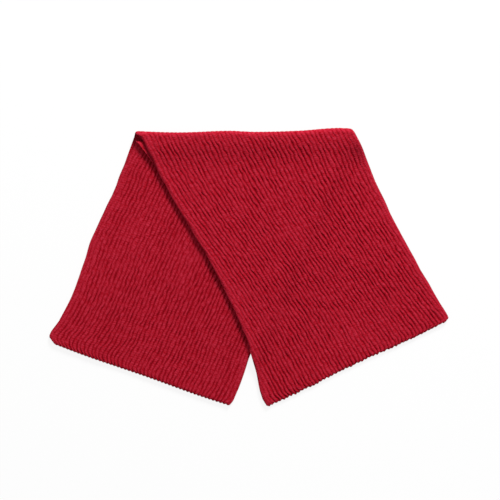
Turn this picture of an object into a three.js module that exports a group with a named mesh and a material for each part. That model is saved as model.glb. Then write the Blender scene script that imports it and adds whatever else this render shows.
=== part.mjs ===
// A rib-knit snood, shown flat: an endless band of cloth pressed into two layers and
// then folded in half across its length, so that two legs splay from one top fold.
// The outer layer wraps round the inner one at the fold. At the end of each leg the two
// layers meet: in the band's own turn on the back leg, in its joining seam on the front.
// Millimetres, +Z up. The back leg lies on the table and the front leg lies over it.

import * as THREE from 'three';

// ---- Driving sizes ---------------------------------------------------------------
const CLOTH = 3;                // wall of the pressed rib knit
const SEAM_GAP = 0.3;           // clearance where two layers lie on each other
const EDGE_ROUND = 6;           // width over which a side or an end rounds off
const EDGE_SHARE = 0.4;         // share of the wall left at the very edge
const INNER_FOLD_RADIUS = 3.2;  // middle of the inner layer's wall at the top fold
const FOLD_HOLLOW = 1;          // extra room between the layers at the top fold
const SETTLE = 28;              // along the front leg, until the fold's height is pressed out
const DRAPE_START = 4;          // past the back leg's edge, where the front leg starts to fall
const DRAPE_WIDTH = 28;         // and how far it then takes to reach the table
const CREST_FADE = 30;          // along a leg, until the waves of the fold's crest are gone
const SLIP = 5;                 // sideways slip of the inner layer at its own fold
const SLIP_LENGTH = 50;         // along a leg, until the layers lie edge on edge again

// Side edges of each leg, from the top fold (along = 0) to its end (along = 1).
// belly is how far the middle of that section bows towards the end of the leg.
const BACK_LEG = [
  { along: 0.00, leftX: -161.5, leftY: 183.0, rightX: 140.0, rightY: 189.0, belly: 0 },
  { along: 0.12, leftX: -175.5, leftY: 149.0, rightX: 119.5, rightY: 143.0, belly: 0 },
  { along: 0.26, leftX: -191.5, leftY: 108.6, rightX: 94.5, rightY: 88.0, belly: 1 },
  { along: 0.50, leftX: -222.0, leftY: 40.5, rightX: 52.0, rightY: -8.0, belly: 2 },
  { along: 0.74, leftX: -246.5, leftY: -30.0, rightX: 8.0, rightY: -109.0, belly: 2 },
  { along: 0.88, leftX: -267.0, leftY: -73.0, rightX: -10.5, rightY: -161.0, belly: 1 },
  { along: 0.96, leftX: -286.5, leftY: -98.0, rightX: -22.0, rightY: -188.0, belly: 1 },
  { along: 1.00, leftX: -275.0, leftY: -109.5, rightX: -30.0, rightY: -197.5, belly: 2 },
];
const FRONT_LEG = [
  { along: 0.00, leftX: -152.0, leftY: 183.0, rightX: 150.0, rightY: 189.0, belly: 0 },
  { along: 0.12, leftX: -133.0, leftY: 142.0, rightX: 163.3, rightY: 160.0, belly: 0 },
  { along: 0.26, leftX: -104.0, leftY: 89.0, rightX: 179.5, rightY: 121.0, belly: 0 },
  { along: 0.50, leftX: -52.0, leftY: 1.0, rightX: 214.2, rightY: 47.0, belly: 1 },
  { along: 0.74, leftX: -11.0, leftY: -84.0, rightX: 250.0, rightY: -15.0, belly: 3 },
  { along: 0.88, leftX: 6.0, leftY: -139.5, rightX: 270.0, rightY: -49.0, belly: 3 },
  { along: 0.97, leftX: 14.5, leftY: -186.0, rightX: 283.5, rightY: -71.5, belly: 2 },
  { along: 1.00, leftX: 25.0, leftY: -198.0, rightX: 280.5, rightY: -77.5, belly: 2 },
];

// The top fold, from its left side (across = 0) to its right (across = 1): how far up
// the table the outer layer reaches, and how far short of it the inner layer turns.
const TOP_FOLD = [
  { across: 0.00, crestY: 191.5, innerSetback: 15 },
  { across: 0.20, crestY: 190.0, innerSetback: 11 },
  { across: 0.42, crestY: 192.2, innerSetback: 8 },
  { across: 0.55, crestY: 190.8, innerSetback: 8 },
  { across: 0.75, crestY: 193.2, innerSetback: 8 },
  { across: 0.92, crestY: 197.0, innerSetback: 8 },
  { across: 1.00, crestY: 196.0, innerSetback: 8 },
];

// Fineness of the faceted walls.
const LEG_ROWS = 20;
const FOLD_ROWS = 8;
const MIDDLE_COLUMNS = 14;
const MEAN_WIDTH = 280;

// ---- Heights that follow from the sizes ------------------------------------------
const PAIR_MIDDLE = CLOTH + SEAM_GAP / 2;                        // two layers on the table
const LIFT_ON_BACK = 2 * (CLOTH + SEAM_GAP);                     // front leg on the back leg
const LIFT_AT_FOLD = CLOTH + SEAM_GAP + 2 * INNER_FOLD_RADIUS;   // front leg at the top fold
const CREST_REACH = (PAIR_MIDDLE + LIFT_AT_FOLD + SEAM_GAP / 2 + FOLD_HOLLOW + CLOTH) / 2;

// ---- Helpers ---------------------------------------------------------------------
const mix = (a, b, share) => a + (b - a) * share;

/** Smooth step: 0 below 0, 1 above 1, level at both ends. */
function ease(value) {
  const v = Math.min(1, Math.max(0, value));
  return v * v * (3 - 2 * v);
}

/** Value of one named column of a table at key = at, on a smooth curve through its rows. */
function lookUp(table, key, name, at) {
  const last = table.length - 1;
  let row = 0;
  while (row < last - 1 && at > table[row + 1][key]) row += 1;
  const slope = (i) => {
    const before = table[Math.max(0, i - 1)];
    const after = table[Math.min(last, i + 1)];
    return (after[name] - before[name]) / (after[key] - before[key]);
  };
  const span = table[row + 1][key] - table[row][key];
  const s = (at - table[row][key]) / span;
  const h = s * s * (3 - 2 * s);
  const bend = s * (1 - s) * span * ((1 - s) * slope(row) - s * slope(row + 1));
  return mix(table[row][name], table[row + 1][name], h) + bend;
}

/** Length of one side edge of a leg, measured through its table's rows. */
function edgeLength(leg, side) {
  let length = 0;
  for (let i = 1; i < leg.length; i += 1) {
    length += Math.hypot(
      leg[i][`${side}X`] - leg[i - 1][`${side}X`],
      leg[i][`${side}Y`] - leg[i - 1][`${side}Y`],
    );
  }
  return length;
}

/** Length of the rib at `across`, from the top fold to the end of the leg. */
const ribLength = (leg, across) => mix(edgeLength(leg, 'left'), edgeLength(leg, 'right'), across);

/** Place on the table of the rib at `across`, a distance down the leg from the top fold. */
function placeOnLeg(leg, across, distance) {
  const along = distance / ribLength(leg, across);
  const at = (name) => lookUp(leg, 'along', name, along);
  const width = { x: at('rightX') - at('leftX'), y: at('rightY') - at('leftY') };
  const bow = 4 * across * (1 - across) * at('belly') / Math.hypot(width.x, width.y);
  const foldY = mix(leg[0].leftY, leg[0].rightY, across);
  const crest = lookUp(TOP_FOLD, 'across', 'crestY', across) - CREST_REACH - foldY;
  return {
    x: at('leftX') + across * width.x + bow * width.y,
    y: at('leftY') + across * width.y - bow * width.x + crest * Math.exp(-distance / CREST_FADE),
  };
}

/** Share of the wall's thickness left at a distance in from an edge: a rounded side. */
function edgeShare(distance) {
  const inside = Math.min(1, distance / EDGE_ROUND);
  return mix(EDGE_SHARE, 1, Math.sqrt(1 - (1 - inside) ** 2));
}

/** Signed distance past the back leg's right edge, taken as a straight line. */
function pastBackLeg(place) {
  const top = BACK_LEG[0];
  const low = BACK_LEG[4];
  const run = { x: low.rightX - top.rightX, y: low.rightY - top.rightY };
  const cross = run.x * (place.y - top.rightY) - run.y * (place.x - top.rightX);
  return cross / Math.hypot(run.x, run.y);
}

/** How much of the top fold's height is left at a distance down the front leg. */
const foldShare = (across, distance) => {
  const past = Math.max(0, distance - lookUp(TOP_FOLD, 'across', 'innerSetback', across));
  return Math.exp(-((past / SETTLE) ** 2));
};

/** Height of the front leg above the table: on the back leg, then falling past its edge. */
function frontLift(across, distance, place) {
  const draped = LIFT_ON_BACK * (1 - ease((pastBackLeg(place) - DRAPE_START) / DRAPE_WIDTH));
  return mix(draped, LIFT_AT_FOLD, foldShare(across, distance));
}

// ---- Stations --------------------------------------------------------------------
const edgeStations = [0, EDGE_ROUND / 3, EDGE_ROUND];

/** Shares of the width at which the walls have a column, closer together at the sides. */
const columns = [];
edgeStations.forEach((inset) => columns.push(inset / MEAN_WIDTH));
for (let i = 1; i < MIDDLE_COLUMNS; i += 1) {
  columns.push(mix(EDGE_ROUND / MEAN_WIDTH, 1 - EDGE_ROUND / MEAN_WIDTH, i / MIDDLE_COLUMNS));
}
edgeStations.slice().reverse().forEach((inset) => columns.push(1 - inset / MEAN_WIDTH));

/** Distances down a leg at which the rib at `across` has a row. Row 1 starts the inner fold. */
function rowDistances(leg, across) {
  const length = ribLength(leg, across);
  const innerStart = lookUp(TOP_FOLD, 'across', 'innerSetback', across);
  const rows = [0];
  for (let i = 0; i <= LEG_ROWS; i += 1) {
    rows.push(mix(innerStart, length - EDGE_ROUND, i / LEG_ROWS));
  }
  rows.push(length - EDGE_ROUND / 3, length);
  return rows;
}

// ---- The walls -------------------------------------------------------------------

/** The two faces of one layer at one row and column of a leg: towards its partner layer
 *  (mate) and away from it (face). The layers of a pair lie either side of its middle. */
function wallPoint(layer, leg, across, distance) {
  const isFront = leg === FRONT_LEG;
  const isInner = layer === 'inner';
  const place = placeOnLeg(leg, across, distance);
  const start = lookUp(TOP_FOLD, 'across', 'innerSetback', across);
  const slipped = SLIP * (1 - across) * (1 - ease((distance - start) / SLIP_LENGTH));
  const x = place.x + (isInner ? slipped * (isFront ? -1 : 1) : 0);

  const lift = isFront ? frontLift(across, distance, place) : 0;
  const above = isFront !== isInner ? 1 : -1;
  const hollow = isFront && !isInner ? FOLD_HOLLOW * foldShare(across, distance) : 0;
  const fromSide = Math.min(across, 1 - across) * MEAN_WIDTH;
  const fromEnd = ribLength(leg, across) - distance;
  const thickness = CLOTH * Math.min(edgeShare(fromSide), edgeShare(fromEnd));
  const mateZ = PAIR_MIDDLE + lift + above * (SEAM_GAP / 2) + hollow;
  return {
    mate: new THREE.Vector3(x, place.y, mateZ),
    face: new THREE.Vector3(x, place.y, mateZ + above * thickness),
  };
}

/** Half turn from the back leg up to the front leg, sliding sideways with the lean of
 *  the ribs: a share of 0 is the back point and 1 the front point. */
function foldPoint(back, front, share) {
  const turn = Math.PI * (share - 0.5);
  const radius = (front.z - back.z) / 2;
  return new THREE.Vector3(
    mix(back.x, front.x, share),
    mix(back.y, front.y, share) + radius * Math.cos(turn),
    (front.z + back.z) / 2 + radius * Math.sin(turn),
  );
}

/** Rows of points of one face of a layer, from the back leg's end over the top fold to
 *  the front leg's end. The outer layer turns at row 0 of the legs, the inner at row 1. */
function faceRows(layer, face) {
  const firstRow = layer === 'inner' ? 1 : 0;
  const rowsOf = (leg) => {
    const perColumn = columns.map((across) => rowDistances(leg, across)
      .map((distance) => wallPoint(layer, leg, across, distance)[face]));
    return perColumn[0].map((_, row) => perColumn.map((column) => column[row])).slice(firstRow);
  };
  const back = rowsOf(BACK_LEG);
  const front = rowsOf(FRONT_LEG);
  const fold = [];
  for (let i = 1; i < FOLD_ROWS; i += 1) {
    fold.push(columns.map((_, column) => foldPoint(back[0][column], front[0][column], i / FOLD_ROWS)));
  }
  return [...back.slice().reverse(), ...fold, ...front];
}

/** Closed wall between two grids of points that have the same rows and columns. */
function closedWall(upper, lower) {
  const rows = upper.length;
  const width = upper[0].length;
  const points = [...upper.flat(), ...lower.flat()];
  const top = (row, column) => row * width + column;
  const under = (row, column) => rows * width + top(row, column);
  const triangles = [];
  const quad = (a, b, c, d) => triangles.push(a, b, c, a, c, d);
  for (let r = 0; r < rows - 1; r += 1) {
    for (let c = 0; c < width - 1; c += 1) {
      quad(top(r, c), top(r, c + 1), top(r + 1, c + 1), top(r + 1, c));
      quad(under(r, c), under(r + 1, c), under(r + 1, c + 1), under(r, c + 1));
    }
    quad(top(r, 0), top(r + 1, 0), under(r + 1, 0), under(r, 0));
    quad(top(r, width - 1), under(r, width - 1), under(r + 1, width - 1), top(r + 1, width - 1));
  }
  for (let c = 0; c < width - 1; c += 1) {
    quad(top(0, c), under(0, c), under(0, c + 1), top(0, c + 1));
    quad(top(rows - 1, c), top(rows - 1, c + 1), under(rows - 1, c + 1), under(rows - 1, c));
  }
  const geometry = new THREE.BufferGeometry();
  geometry.setAttribute('position', new THREE.Float32BufferAttribute(
    points.flatMap((point) => [point.x, point.y, point.z]),
    3,
  ));
  geometry.setIndex(triangles);
  geometry.computeVertexNormals();
  return geometry;
}

// ---- Finish ----------------------------------------------------------------------
const redKnit = new THREE.MeshStandardMaterial({
  name: 'red_rib_knit', color: 0x9c1a28, roughness: 0.95, metalness: 0,
});

/** The outer layer: under the back leg, round the top fold and over the front leg. */
function outerLayer() {
  const wall = closedWall(faceRows('outer', 'mate'), faceRows('outer', 'face'));
  const mesh = new THREE.Mesh(wall, redKnit);
  mesh.name = 'outer_layer';
  return mesh;
}

/** The inner layer: on top of the back leg, nested in the fold and under the front leg. */
function innerLayer() {
  const wall = closedWall(faceRows('inner', 'face'), faceRows('inner', 'mate'));
  const mesh = new THREE.Mesh(wall, redKnit);
  mesh.name = 'inner_layer';
  return mesh;
}

const snood = new THREE.Group();
snood.add(outerLayer(), innerLayer());

export default snood;
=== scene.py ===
# %% [markdown]
# # A rib-knit snood, laid flat and folded
#
# The snood is one endless band of dark red rib knit. It lies pressed flat in two layers,
# folded in half across its length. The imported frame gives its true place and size, and this
# lesson makes the knit around it: two thin shells whose ribs are real relief, and a wool
# material for the stitches that are too small to model.

# %% Load the frame
import math

import bpy
import numpy as np
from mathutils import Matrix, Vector


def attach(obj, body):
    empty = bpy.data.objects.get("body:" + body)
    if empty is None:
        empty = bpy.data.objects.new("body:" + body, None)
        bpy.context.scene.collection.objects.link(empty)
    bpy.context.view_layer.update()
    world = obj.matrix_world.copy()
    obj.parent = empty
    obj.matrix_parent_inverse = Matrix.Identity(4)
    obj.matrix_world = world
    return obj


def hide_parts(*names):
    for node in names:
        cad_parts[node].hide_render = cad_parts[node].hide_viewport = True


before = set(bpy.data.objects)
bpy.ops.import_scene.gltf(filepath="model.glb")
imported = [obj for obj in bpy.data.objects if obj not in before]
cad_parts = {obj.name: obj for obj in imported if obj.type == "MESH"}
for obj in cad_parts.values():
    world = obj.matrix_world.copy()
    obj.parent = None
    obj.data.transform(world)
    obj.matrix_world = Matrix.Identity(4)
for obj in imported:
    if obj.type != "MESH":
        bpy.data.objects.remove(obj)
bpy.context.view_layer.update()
MM = 0.001

# %% [markdown]
# ## The cut and the lie of the cloth
#
# A leg is described by its two side edges, from the top fold to its end, as a dressmaker
# would mark them on the table. The rows below follow the frame's solids, which are plainer,
# to within two or three millimetres. A smooth curve is drawn through each named column.

# %% Sizes of the cloth, in millimetres
CLOTH = 3.0               # wall of the pressed rib knit
SEAM_GAP = 0.3            # clearance where two layers lie on each other
EDGE_ROUND = 6.0          # width over which a side or an end rolls over
SIDE_SHARE = 0.22         # share of the wall left at a side edge
END_SHARE = 0.06          # share left at an end, where the two layers join
INNER_FOLD_RADIUS = 3.2   # middle of the inner layer's wall at the top fold
FOLD_HOLLOW = 1.0         # extra room between the layers at the top fold
SETTLE = 28.0             # along the front leg, until the fold is pressed out
DRAPE_START = 1.0         # past the back leg's edge, where the front leg starts to fall
DRAPE_WIDTH = 28.0        # and how far it takes to reach the table
CREST_FADE = 30.0         # along a leg, until the waves of the fold's crest are a third
SLIP_BACK = 4.8           # sideways slip of the inner layer at its fold, on the back leg
SLIP_FRONT = 6.0          # and on the front leg
SLIP_LENGTH = 50.0        # along a leg, until the layers lie edge on edge again
ROW_WIDTH = 280.0         # mean length of a row, which runs slightly askew to the ribs
RIBS = 48                 # ribs across the band


def table(names, *rows):
    """Short table: names is one string of column names, and each row gives their values."""
    return dict(zip(names.split(), np.array(rows, float).T))


BACK_LEG = table(
    "along left_x left_y right_x right_y belly",
    (0.00, -162.5, 183.0, 140.0, 189.0, 0),
    (0.12, -176.5, 149.0, 119.5, 143.0, 0),
    (0.26, -191.5, 108.6, 94.5, 88.0, 1),
    (0.50, -223.0, 40.5, 52.0, -8.0, 2),
    (0.74, -246.5, -30.0, 8.0, -109.0, 2),
    (0.88, -267.0, -73.0, -10.5, -161.0, 1),
    (0.96, -283.5, -98.0, -21.0, -188.0, 1),
    (1.00, -277.0, -110.0, -27.5, -197.2, 2),
)
FRONT_LEG = table(
    "along left_x left_y right_x right_y belly",
    (0.00, -152.0, 183.0, 150.0, 189.0, 0),
    (0.12, -133.0, 142.0, 164.3, 160.0, 0),
    (0.26, -104.0, 89.0, 179.5, 121.0, 0),
    (0.50, -52.0, 1.0, 216.0, 47.5, 1),
    (0.74, -11.0, -84.0, 250.0, -15.0, 3),
    (0.88, 7.5, -139.5, 270.0, -49.0, 3),
    (0.97, 19.0, -187.0, 283.5, -71.5, 2),
    (1.00, 25.0, -198.0, 280.5, -77.5, 2),
)
TOP_FOLD = table(
    "across crest_y inner_setback",
    (0.00, 192.4, 12), (0.20, 191.0, 10), (0.42, 193.2, 8), (0.55, 191.6, 8),
    (0.75, 193.2, 8), (0.92, 197.0, 8), (1.00, 196.0, 8),
)

# %% [markdown]
# ## Heights of the pile
#
# Four thicknesses of cloth lie on each other where the legs cross. The two layers of a leg
# part at the middle of the pair, and the front leg's pair is lifted: by a whole pair where
# it lies on the back leg, and by the inner layer's turn where it leaves the top fold.

# %% Heights, in millimetres
PAIR_MIDDLE = CLOTH + SEAM_GAP / 2
LIFT_ON_BACK = 2 * (CLOTH + SEAM_GAP)
LIFT_AT_FOLD = CLOTH + SEAM_GAP + 2 * INNER_FOLD_RADIUS
CREST_REACH = (PAIR_MIDDLE + LIFT_AT_FOLD + SEAM_GAP / 2 + FOLD_HOLLOW + CLOTH) / 2
print(f"rib pitch {ROW_WIDTH / RIBS:.1f} mm, radius of the top fold {CREST_REACH:.1f} mm")

# %% Blends, and curves through the tables


def mix(a, b, share):
    """Straight blend: a where share is 0, b where it is 1."""
    return a + (b - a) * share


def ease(value):
    """Smooth step: 3v^2 - 2v^3, held at 0 below 0 and at 1 above 1."""
    v = np.clip(value, 0, 1)
    return v * v * (3 - 2 * v)


def look_up(rows, key, name, at):
    """Value of column name at key = at: cubic through the rows, with the slope at each row
    taken from its two neighbours."""
    x, y = rows[key], rows[name]
    slope = np.gradient(y, x, edge_order=1)
    slope[1:-1] = (y[2:] - y[:-2]) / (x[2:] - x[:-2])
    i = np.clip(np.searchsorted(x, at, side="right") - 1, 0, len(x) - 2)
    span = x[i + 1] - x[i]
    s = (at - x[i]) / span
    bend = s * (1 - s) * span * ((1 - s) * slope[i] - s * slope[i + 1])
    return mix(y[i], y[i + 1], s * s * (3 - 2 * s)) + bend


# %% [markdown]
# ## A point of the cloth on the table
#
# Any point of a leg is found from two numbers: its share across the band, and its distance
# down from the fold. A straight line joins the side edges at that distance, and it is bowed
# a little, because the middle of a splayed band creeps further than its sides.

# %% Places on a leg


def rib_length(leg, across):
    """Length of a rib: blend of the lengths of the leg's two side edges."""
    left = np.hypot(np.diff(leg["left_x"]), np.diff(leg["left_y"])).sum()
    right = np.hypot(np.diff(leg["right_x"]), np.diff(leg["right_y"])).sum()
    return mix(left, right, across)


def place_on_leg(leg, across, distance):
    """x and y of the rib at across, a distance down the leg: a point on the straight line
    between the side edges, bowed by 4t(1-t) times the belly, with the crest's waves added
    near the fold."""
    along = distance / rib_length(leg, across)
    left_x, left_y = (look_up(leg, "along", "left_" + axis, along) for axis in "xy")
    right_x, right_y = (look_up(leg, "along", "right_" + axis, along) for axis in "xy")
    wide_x, wide_y = right_x - left_x, right_y - left_y
    belly = look_up(leg, "along", "belly", along)
    bow = 4 * across * (1 - across) * belly / np.hypot(wide_x, wide_y)
    fold_y = mix(leg["left_y"][0], leg["right_y"][0], across)
    crest = look_up(TOP_FOLD, "across", "crest_y", across) - CREST_REACH - fold_y
    x = left_x + across * wide_x + bow * wide_y
    y = left_y + across * wide_y - bow * wide_x + crest * np.exp(-distance / CREST_FADE)
    return x, y


# %% Edges, drape and fold


def edge_share(distance, least):
    """Share of the wall's thickness at a distance in from an edge: a quarter circle."""
    inside = np.clip(distance / EDGE_ROUND, 0, 1)
    return mix(least, 1, np.sqrt(1 - (1 - inside) ** 2))


def past_back_leg(x, y):
    """Signed distance past the back leg's right edge, taken as a straight line."""
    run_x = BACK_LEG["right_x"][4] - BACK_LEG["right_x"][0]
    run_y = BACK_LEG["right_y"][4] - BACK_LEG["right_y"][0]
    cross = run_x * (y - BACK_LEG["right_y"][0]) - run_y * (x - BACK_LEG["right_x"][0])
    return cross / math.hypot(run_x, run_y)


def fold_share(across, distance):
    """Share of the top fold's height left down the front leg: a bell curve's one side."""
    start = look_up(TOP_FOLD, "across", "inner_setback", across)
    return np.exp(-((np.maximum(0, distance - start) / SETTLE) ** 2))


# %% [markdown]
# ## Ribs, and what keeps them from looking machined
#
# Real rib knit never repeats exactly: a groove opens and closes every few stitches, the ribs
# wander by a fraction of their width, and some patches are stretched smoother than others.
# Seeded value noise gives each of these its own scale. The grooves are carved into the wall,
# so the ridges stay at the frame's surface and the layers stay clear of each other.

# %% Noise and rib relief
GROOVE_DEPTH = 2.0        # millimetres, from ridge to groove
GROOVE_SHARPNESS = 0.52   # below 1, ridges are broad and grooves narrow
GROOVE_STEP = 5.0         # millimetres along a groove between its changes of depth
WANDER = 0.42             # how far a rib strays, in rib widths
WANDER_SHARE = 0.6        # of the slow wander, beside the quick one
LEAN_BACK, LEAN_FRONT = 1.5, 8.0   # ribs that a groove crosses on its way down each leg
LEAN_LENGTH = 400.0       # distance down the leg over which it crosses them
SMOOTH_SIDE = 19.0        # width of the calmer band along each side edge
SMOOTH_FOLD = 36.0        # and on each side of the top fold
UNDULATION = 0.7          # depth of the broad soft hollows


def value_noise(u, v, seed):
    """Smooth noise from 0 to 1: random values on a unit grid, eased between in u and v."""
    grid = np.random.default_rng(seed).random((400, 400))
    i, j = np.floor(u).astype(int), np.floor(v).astype(int)
    fu, fv = ease(u - i), ease(v - j)
    low = mix(grid[i % 400, j % 400], grid[(i + 1) % 400, j % 400], fu)
    high = mix(grid[i % 400, (j + 1) % 400], grid[(i + 1) % 400, (j + 1) % 400], fu)
    return mix(low, high, fv)


def rib_relief(across, run, from_fold, seed):
    """Rib count at each point, and how deep its groove is carved there, from 0 to about 1.
    The count is RIBS times the share across, plus the wander, less the lean, which grows
    with the square of the distance from the fold. A groove is 1 less the cosine's size
    raised to the sharpness, scaled by two noises and by the calmer edges and fold."""
    slow = value_noise(across * 9, run / 40, seed)
    quick = value_noise(across * 53, run / 7, seed + 1)
    wander = WANDER * (WANDER_SHARE * (slow - 0.5) + quick - 0.5)
    lean = (from_fold / LEAN_LENGTH) ** 2 * np.where(from_fold > 0, LEAN_FRONT, -LEAN_BACK)
    rib = RIBS * across + wander - lean
    ridge = np.abs(np.cos(np.pi * (rib + 0.5))) ** GROOVE_SHARPNESS
    dashes = value_noise(np.floor(rib), run / GROOVE_STEP, seed + 2)
    patches = value_noise(across * 6, run / 55, seed + 3)
    from_side = np.minimum(across, 1 - across) * ROW_WIDTH
    calm = mix(0.35, 1.0, ease(from_side / SMOOTH_SIDE))
    calm = calm * mix(0.5, 1.0, ease(np.abs(from_fold) / SMOOTH_FOLD))
    depth = mix(0.4, 1.15, dashes) * mix(0.75, 1.12, patches) * calm
    return rib, (1 - ridge) * depth


# %% [markdown]
# ## From strip to folded layer
#
# Each layer is one strip: up the back leg, round the top fold and down the front leg. The
# shape is a function of two parameters, the share across the band and the row along it, and
# is worked out as whole arrays. A cloth simulation would settle the pile by itself, but the
# exact splay and the nested corner are easier to give directly.

# %% Rows of a layer
SAMPLES_PER_RIB = 7
MATE_ROW_STEP = 3         # the hidden face has one row for this many on the shown face
END_INSETS = np.array([4.4, 3.1, 2.0, 1.15, 0.5, 0.12, 0.0])   # last rows, from the end


def leg_rows(leg, across, start, count):
    """Distances of a leg's rows, one column per rib sample: even steps from start to where
    the end begins to roll over, then closer ones round the end."""
    length = rib_length(leg, across)
    even = mix(start, length - EDGE_ROUND, np.linspace(0, 1, count + 1)[:, None])
    return np.vstack([even, length - END_INSETS[:, None]])


# %% [markdown]
# ## Uneven ends and edges
#
# The ends of a knitted band are never cut to a line. Each rib stands out as a small scallop,
# the linked end of the front leg is ragged, and both ends bow gently from side to side.
# The side edges swell and shrink a little too.

# %% Uneven ends and edges, in millimetres
SCALLOP = 1.5             # how far a rib stands out at an end
RAG = 1.68                # unevenness from rib to rib at the front leg's end
RAG_STEP = 1.7            # its changes for each rib
SCALLOP_FADE = 5.0        # distance up from the end at which both are down to a third
BOW_BACK, BOW_FRONT = 0.9, 1.6     # how far an end's middle hangs back from its quarters
BOW_SPAN = 0.8            # share of the width from one quarter's peak to the other
BOW_FADE = 25.0           # distance up from the end at which the bow is down to a third
EDGE_WAVE = 1.8           # unevenness of the side edges
EDGE_WAVE_STEP = 21.0     # distance between its changes
EDGE_WAVE_FADE = 14.0     # distance in from the edge at which it is down to a third
LOOK_BACK = 2.0           # distance over which a rib's direction is taken


def end_reach(across, from_end, is_front):
    """How far each point is pushed along its rib near an end: scallops, less a cosine bow,
    plus the front end's rag, each faded by an exponential of the distance from the end."""
    ridge = np.abs(np.cos(np.pi * (RIBS * across + 0.5)))
    near, nearby = np.exp(-from_end / SCALLOP_FADE), np.exp(-from_end / BOW_FADE)
    bow = (BOW_FRONT if is_front else BOW_BACK) * np.cos(2 * np.pi * (across - 0.5) / BOW_SPAN)
    rag = RAG * (value_noise(RIBS * RAG_STEP * across, 0 * from_end, 71) - 0.5) if is_front else 0
    return (SCALLOP * (ridge - 0.6) + rag) * near - bow * nearby


# %% The two faces of a layer on one leg


def leg_points(layer, leg, across, distance):
    """The mate face and the shown face of one layer on one leg, as arrays of x, y, z.
    The outer layer is under the back leg and on top of the front leg, and the inner layer
    is the other way round, so the shown face is above the mate or below it in turn."""
    is_front, is_inner = leg is FRONT_LEG, layer == "inner"
    length = rib_length(leg, across)
    from_end = length - distance
    inside = np.minimum(distance, length - 1e-6)
    x, y = place_on_leg(leg, across, inside)
    x2, y2 = place_on_leg(leg, across, inside - LOOK_BACK)
    reach = end_reach(across, from_end, is_front) / np.hypot(x - x2, y - y2)
    x, y = x + reach * (x - x2), y + reach * (y - y2)

    side = np.minimum(across, 1 - across) * ROW_WIDTH
    wave = EDGE_WAVE * (value_noise(across * 2 + 3, distance / EDGE_WAVE_STEP, 81) - 0.5)
    x = x + wave * np.exp(-side / EDGE_WAVE_FADE) * np.clip(from_end / 20, 0, 1)
    start = look_up(TOP_FOLD, "across", "inner_setback", across)
    slipped = (1 - across) * (1 - ease((distance - start) / SLIP_LENGTH))
    if is_inner:
        x = x + slipped * (-SLIP_FRONT if is_front else SLIP_BACK)

    lift, hollow = 0 * x, 0 * x
    if is_front:
        share = fold_share(across, distance)
        draped = LIFT_ON_BACK * (1 - ease((past_back_leg(x, y) - DRAPE_START) / DRAPE_WIDTH))
        lift = mix(draped, LIFT_AT_FOLD, share)
        hollow = 0 * x if is_inner else FOLD_HOLLOW * share
    above = 1 if is_front != is_inner else -1
    thick = CLOTH * np.minimum(edge_share(side, SIDE_SHARE), edge_share(from_end, END_SHARE))
    mate_z = PAIR_MIDDLE + lift + above * SEAM_GAP / 2 + hollow
    mate = np.stack([x, y, mate_z], -1)
    face = np.stack([x, y, mate_z + above * thick], -1)
    return mate, face


# %% The half turn at the top fold
CORNER = 0.06             # share of the width over which the fold's left corner is rounded
CORNER_POWER = 10         # how late in the half turn its side edge swings over
CORNER_SHARE = 0.6        # and how much of the swing is late


def fold_points(back, front, across, count):
    """Half turn between the first rows of the two legs: radius is half their height
    difference, and x slides evenly from one to the other with the lean of the ribs. At the
    left corner a power of the share is blended in, so that the corner is drawn round."""
    share = (np.arange(1, count) / count)[:, None]
    turn = np.pi * (share - 0.5)
    points = mix(back[None], front[None], share[..., None])
    late = mix(share, share ** CORNER_POWER, CORNER_SHARE * (1 - ease(across / CORNER)))
    points[..., 0] = mix(back[:, 0], front[:, 0], late)
    radius = (front[:, 2] - back[:, 2]) / 2
    points[..., 1] += radius * np.cos(turn)
    points[..., 2] = (front[:, 2] + back[:, 2]) / 2 + radius * np.sin(turn)
    return points


# %% A whole layer
CARVE_LIMIT = 0.8         # share of the wall that a groove may take away


def face_normals(face, mate):
    """Unit normals of a grid of points: cross product of its two directions, turned so
    that they point away from the layer's hidden side."""
    normal = np.cross(np.gradient(face, axis=0), np.gradient(face, axis=1))
    normal /= np.linalg.norm(normal, axis=-1, keepdims=True) + 1e-12
    middle = tuple(n // 2 for n in face.shape[:2])
    outward = np.dot(normal[middle], face[middle] - mate[middle])
    return normal * np.sign(outward)


def layer_grid(layer, rows_back, rows_fold, rows_front, seed):
    """Shown face, hidden face, rib count, run along the band and groove of a whole layer.
    Both faces go up the back leg, round the fold and down the front leg, and then the shown
    one is pushed in along its normals by the grooves and the broad hollows."""
    across = np.linspace(0, 1, RIBS * SAMPLES_PER_RIB + 1)
    start = look_up(TOP_FOLD, "across", "inner_setback", across) if layer == "inner" else 0 * across
    back_rows = leg_rows(BACK_LEG, across, start, rows_back)
    front_rows = leg_rows(FRONT_LEG, across, start, rows_front)
    spread = np.broadcast_to(across, back_rows.shape), np.broadcast_to(across, front_rows.shape)
    back_mate, back_face = leg_points(layer, BACK_LEG, spread[0], back_rows)
    front_mate, front_face = leg_points(layer, FRONT_LEG, spread[1], front_rows)
    grids = []
    for back, front in ((back_face, front_face), (back_mate, front_mate)):
        turn = fold_points(back[0], front[0], across, rows_fold)
        grids.append(np.concatenate([back[::-1], turn, front]))
    face, mate = grids
    step = np.linalg.norm(np.diff(face, axis=0), axis=-1)
    run = np.vstack([np.zeros(len(across)), np.cumsum(step, axis=0)])
    wide = np.broadcast_to(across, run.shape)
    from_fold = run - run[len(back_rows) + rows_fold // 2 - 1]
    rib, groove = rib_relief(wide, run, from_fold, seed)
    broad = value_noise(wide * 5, run / 60, seed + 5)
    carve = GROOVE_DEPTH * groove + UNDULATION * broad * ease(np.minimum(wide, 1 - wide) * 20)
    thick = np.linalg.norm(face - mate, axis=-1)
    carve = np.minimum(carve, CARVE_LIMIT * thick)
    face = face - face_normals(face, mate) * carve[..., None]
    return face, mate, rib, run, groove


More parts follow.
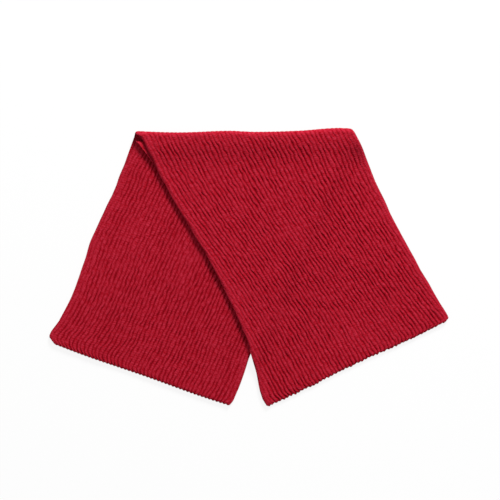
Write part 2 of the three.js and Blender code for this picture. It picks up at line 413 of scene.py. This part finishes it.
# %% [markdown]
# ## One closed shell from two grids
#
# The shown face needs seven points for every rib, but the face hidden between the layers
# doesn't. It takes every seventh column and every third row, and a fan of triangles round
# the rim joins the fine edge to the coarse one, so the shell is closed and stays light. On
# the leg where a layer is underneath, its rows are further apart too.

# %% Shell builder


def grid_triangles(index, flip):
    """Two triangles for each cell of a grid of vertex numbers."""
    a, b, c, d = index[:-1, :-1], index[:-1, 1:], index[1:, 1:], index[1:, :-1]
    triangles = np.concatenate([
        np.stack([a, b, c], -1).reshape(-1, 3), np.stack([a, c, d], -1).reshape(-1, 3)])
    return triangles[:, ::-1] if flip else triangles


def rim_triangles(fine, coarse, ratio, flip):
    """Fan between a fine edge and a coarse one: each coarse point serves the fine edges
    nearest to it, and one more triangle closes each coarse edge at its middle."""
    i = np.arange(len(fine) - 1)
    nearest = coarse[(i + (ratio + 1) // 2) // ratio]
    fans = np.stack([nearest, fine[i], fine[i + 1]], -1)
    j = np.arange(len(coarse) - 1)
    middle = fine[j * ratio + ratio - (ratio + 1) // 2]
    links = np.stack([coarse[j], middle, coarse[j + 1]], -1)
    triangles = np.concatenate([fans, links])
    return triangles[:, ::-1] if flip else triangles


# %% Knit layers


def knit_shell(name, layer, rows_back, rows_fold, rows_front, seed):
    """Builds one layer as a closed mesh, with its rib count and run as a UV map. The steps
    of both legs, their ends and the fold have to add up to a multiple of MATE_ROW_STEP."""
    face, mate, rib, run, groove = layer_grid(layer, rows_back, rows_fold, rows_front, seed)
    coarse = mate[::MATE_ROW_STEP, ::SAMPLES_PER_RIB]
    shown = np.arange(face[..., 0].size).reshape(face.shape[:2])
    hidden = shown.size + np.arange(coarse[..., 0].size).reshape(coarse.shape[:2])
    flip = layer == "outer"
    triangles = np.concatenate([
        grid_triangles(shown, flip), grid_triangles(hidden, not flip),
        rim_triangles(shown[:, 0], hidden[:, 0], MATE_ROW_STEP, not flip),
        rim_triangles(shown[:, -1], hidden[:, -1], MATE_ROW_STEP, flip),
        rim_triangles(shown[0], hidden[0], SAMPLES_PER_RIB, flip),
        rim_triangles(shown[-1], hidden[-1], SAMPLES_PER_RIB, not flip)])
    points = np.concatenate([face.reshape(-1, 3), coarse.reshape(-1, 3)]) * MM
    mesh = bpy.data.meshes.new(name)
    mesh.from_pydata(points, [], triangles.tolist())
    mesh.update()
    corner = np.zeros(len(mesh.loops), np.int32)
    mesh.loops.foreach_get("vertex_index", corner)

    def everywhere(values):
        return np.concatenate([values.ravel(), values[::MATE_ROW_STEP, ::SAMPLES_PER_RIB].ravel()])

    uv = np.stack([everywhere(rib), everywhere(run)], -1)[corner]
    mesh.uv_layers.new(name="knit").data.foreach_set("uv", uv.astype(np.float32).ravel())
    carved = mesh.attributes.new("groove", "FLOAT", "POINT")
    carved.data.foreach_set("value", everywhere(groove).astype(np.float32))
    mesh.polygons.foreach_set("use_smooth", np.ones(len(mesh.polygons), bool))
    piece = bpy.data.objects.new(name, mesh)
    bpy.context.scene.collection.objects.link(piece)
    print(name, "triangles:", len(mesh.polygons))
    return piece


outer = knit_shell("outer_knit", "outer", rows_back=58, rows_fold=20, rows_front=148, seed=11)
inner = knit_shell("inner_knit", "inner", rows_back=148, rows_fold=14, rows_front=58, seed=31)

# %% [markdown]
# ## Shader sums as Python expressions
#
# A material is easier to read as sums than as a web of nodes. This small class wraps an
# output socket, so that an expression on values adds its Math nodes by itself.

# %% Socket wrapper


class Value:
    """A shader socket on which +, - and * add Math nodes."""

    def __init__(self, tree, socket):
        self.tree, self.socket = tree, socket

    def math(self, operation, other=None):
        """One Math node on this value, and on a second one where the operation takes two."""
        inputs = [v for v in (self, other) if v is not None]
        return make(self.tree, "ShaderNodeMath", {"operation": operation}, dict(enumerate(inputs)))

    def within(self, low, high):
        """This value, held from low to high."""
        return self.math("MAXIMUM", low).math("MINIMUM", high)

    def __add__(self, other):
        return self.math("ADD", other)

    def __sub__(self, other):
        return self.math("SUBTRACT", other)

    def __mul__(self, other):
        return self.math("MULTIPLY", other)

    def __rsub__(self, other):
        return (self * -1) + other

    __radd__, __rmul__ = __add__, __mul__


def make(tree, kind, settings, inputs, output=0):
    """Adds one node: its settings first, then the values or links of its sockets."""
    node = tree.nodes.new(kind)
    for key, value in settings.items():
        setattr(node, key, value)
    for key, value in inputs.items():
        if isinstance(value, Value):
            tree.links.new(value.socket, node.inputs[key])
        else:
            node.inputs[key].default_value = value
    return Value(tree, node.outputs[output])


# %% [markdown]
# ## Red wool-blend knit
#
# Dyed yarn is never one flat red. The grooves get a darker painted shade, the tops of the ribs
# get a pink painted highlight, and there are slow drifts in the dye. The stitches are a bump:
# each rib is a column of small Vs, so their phase runs along the rib and bends back from its
# middle. Fine fibre noise breaks up the light, and a sheen stands for the halo of loose hair.

# %% Knit material
STITCH = 3.3              # millimetres along the rib for one row of stitches
GROOVE_SHADE = (124, 4, 15)       # painted shade on the floor of a groove
MIDDLE = (169, 7, 26)     # flank of a rib
RIB_HIGHLIGHT = (220, 62, 88)     # painted highlight on the top of a rib
DULL = (150, 18, 34)      # where the dye drifts
HALO = (225, 70, 125)     # loose hairs against the light


def srgb(r, g, b):
    """Scene-linear colour of an sRGB colour given from 0 to 255."""
    c = np.array([r, g, b]) / 255
    linear = np.where(c <= 0.04045, c / 12.92, ((c + 0.055) / 1.055) ** 2.4)
    return (*linear.tolist(), 1.0)


def colour_mix(tree, factor, a, b):
    """Mix node on colours."""
    return make(tree, "ShaderNodeMix", {"data_type": "RGBA"}, {0: factor, 6: a, 7: b}, 2)


def knit_colour(tree, rib, run, groove, stitch, drift):
    """Colour of the yarn: from the flank's red towards a painted shade by the groove, then
    towards a painted pink highlight where stitches and noise dashes stand up, then dulled by the
    drift."""
    # Painted shade: the deeper the groove, the darker its red.
    tone = colour_mix(tree, (groove * 1.25).math("MINIMUM", 1.0), srgb(*MIDDLE), srgb(*GROOVE_SHADE))
    stretched = make(tree, "ShaderNodeCombineXYZ", {}, {0: rib * 1.7, 1: run * 0.24})
    highlight_dashes = make(tree, "ShaderNodeTexNoise", {}, {0: stretched, 2: 1.0, 3: 2.0, 4: 0.6})
    # Painted highlight: pink dashes along the tops of the ribs, kept out of the grooves.
    highlight_mask = (1 - groove * 2.5).math("MAXIMUM", 0.0) * (stitch * 0.4 + highlight_dashes * 2.4 - 0.9)
    tone = colour_mix(tree, highlight_mask.within(0.0, 1.0) * 0.56, tone, srgb(*RIB_HIGHLIGHT))
    return colour_mix(tree, (drift - 0.5).math("ABSOLUTE") * 0.6, tone, srgb(*DULL))


def knit_material():
    """Wool-blend rib knit in dark red. A stitch is a triangle wave of its phase, which is
    the run in stitches, plus the distance from the rib's middle, plus a little yarn noise."""
    material = bpy.data.materials.new("red_rib_knit")
    material.use_nodes = True
    tree = material.node_tree
    shader = tree.nodes["Principled BSDF"]
    uv = make(tree, "ShaderNodeUVMap", {"uv_map": "knit"}, {})
    rib = make(tree, "ShaderNodeSeparateXYZ", {}, {0: uv}, 0)
    run = Value(tree, rib.socket.node.outputs[1])
    groove = make(tree, "ShaderNodeAttribute", {"attribute_name": "groove"}, {}, 2)
    place = make(tree, "ShaderNodeTexCoord", {}, {}, 3)

    fibres = make(tree, "ShaderNodeTexNoise", {}, {0: place, 2: 900.0, 3: 3.0, 4: 0.6})
    yarn = make(tree, "ShaderNodeTexNoise", {}, {0: place, 2: 260.0, 3: 2.0, 4: 0.5})
    drift = make(tree, "ShaderNodeTexNoise", {}, {0: place, 2: 14.0, 3: 2.0, 4: 0.5})
    from_middle = (rib.math("FRACT") - 0.5).math("ABSOLUTE")
    phase = run * (1 / STITCH) + from_middle * 1.6 + yarn * 0.5
    stitch = (phase.math("FRACT") - 0.5).math("ABSOLUTE") * 2

    tone = knit_colour(tree, rib, run, groove, stitch, drift)
    tree.links.new(tone.socket, shader.inputs["Base Color"])

    height = stitch * 0.45 + fibres * 0.25 + yarn * 0.3
    bump = make(tree, "ShaderNodeBump", {}, {"Strength": 0.55, "Distance": 0.0007, "Height": height})
    tree.links.new(bump.socket, shader.inputs["Normal"])
    finish = {
        "Roughness": 0.95, "Specular IOR Level": 0.05,
        "Sheen Weight": 0.12, "Sheen Roughness": 0.5, "Sheen Tint": srgb(*HALO)}
    for socket, value in finish.items():
        shader.inputs[socket].default_value = value
    return material


knit = knit_material()
for piece in (outer, inner):
    piece.data.materials.append(knit)
print(knit.name, "nodes:", len(knit.node_tree.nodes))

# %% [markdown]
# ## Declaring the cloth to the frame
#
# The band is cut 270 mm wide and about 1490 mm long, and each layer is half of it. Both ride
# on the one body, and each stands for the plain solid of the same layer.

# %% Frame calls
for piece, node in ((outer, "outer_layer"), (inner, "inner_layer")):
    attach(piece, "root")
    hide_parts(node)
print("whole cut: 0.27 by 1.49 m")

# %% [markdown]
# ## A plain studio seen from above
#
# The snood lies on a white table under a large soft lamp at the head of the table, with an
# even fill all round. The table is drawn nearly white to the camera and keeps a little of
# the snood's shadow.

# %% Table
TABLE_SIZE = 30.0
TABLE_DROP = 0.0002       # metres below the cloth, so that the two never share a face
WHITE = (1, 1, 1, 1)
TABLE_GLOW = 0.85         # share of plain white in what the camera sees of the table


def white_table_material():
    """Matt white, mixed with an even glow on rays that come straight from the camera."""
    material = bpy.data.materials.new("white_table")
    material.use_nodes = True
    tree = material.node_tree
    matt = tree.nodes["Principled BSDF"]
    matt.inputs["Base Color"].default_value = (0.9, 0.9, 0.9, 1)
    matt.inputs["Roughness"].default_value = 1.0
    seen = make(tree, "ShaderNodeLightPath", {}, {})
    glow = make(tree, "ShaderNodeEmission", {}, {"Color": WHITE, "Strength": 1.03})
    parts = {0: seen * TABLE_GLOW, 1: Value(tree, matt.outputs[0]), 2: glow}
    surface = make(tree, "ShaderNodeMixShader", {}, parts)
    tree.links.new(surface.socket, tree.nodes["Material Output"].inputs["Surface"])
    return material


half = TABLE_SIZE / 2
corners = [(-half, -half), (half, -half), (half, half), (-half, half)]
mesh = bpy.data.meshes.new("floor")
mesh.from_pydata([(x, y, -TABLE_DROP) for x, y in corners], [], [(0, 1, 2, 3)])
mesh.materials.append(white_table_material())
floor = bpy.data.objects.new("floor", mesh)
bpy.context.scene.collection.objects.link(floor)

# %% Lamp and world


def area_lamp(name, place, target, size, power):
    """Square area lamp at place, turned so that its face looks at target."""
    lamp = bpy.data.lights.new(name, "AREA")
    lamp.size, lamp.energy = size, power
    item = bpy.data.objects.new(name, lamp)
    item.location = place
    reach = Vector(target) - Vector(place)
    item.rotation_euler = reach.to_track_quat("-Z", "Y").to_euler()
    bpy.context.scene.collection.objects.link(item)


area_lamp("head_lamp", (1.20, 3.10, 2.00), (0, 0, 0), 1.0, 168)
world = bpy.data.worlds.new("studio")
world.use_nodes = True
fill = world.node_tree.nodes["Background"]
fill.inputs["Color"].default_value = WHITE
fill.inputs["Strength"].default_value = 0.34
bpy.context.scene.world = world

# %% [markdown]
# ## Camera
#
# The snood is looked at from straight above. A long lens keeps its thickness from showing
# at the sides, and the distance follows from the width of table that has to fill the view.

# %% Camera
FRAME_WIDTH = 0.710       # metres of table across the picture
VIEW_CENTRE = (0.0014, 0.0234)
VIEW_HEIGHT = 0.006       # height at which the width is measured, half way up the pile
LENS, SENSOR = 90.0, 36.0
camera_data = bpy.data.cameras.new("camera")
camera_data.lens, camera_data.sensor_width = LENS, SENSOR
camera = bpy.data.objects.new("camera", camera_data)
camera.location = (*VIEW_CENTRE, FRAME_WIDTH * LENS / SENSOR + VIEW_HEIGHT)
bpy.context.scene.collection.objects.link(camera)
bpy.context.scene.camera = camera
bpy.context.scene.view_settings.view_transform = "Standard"
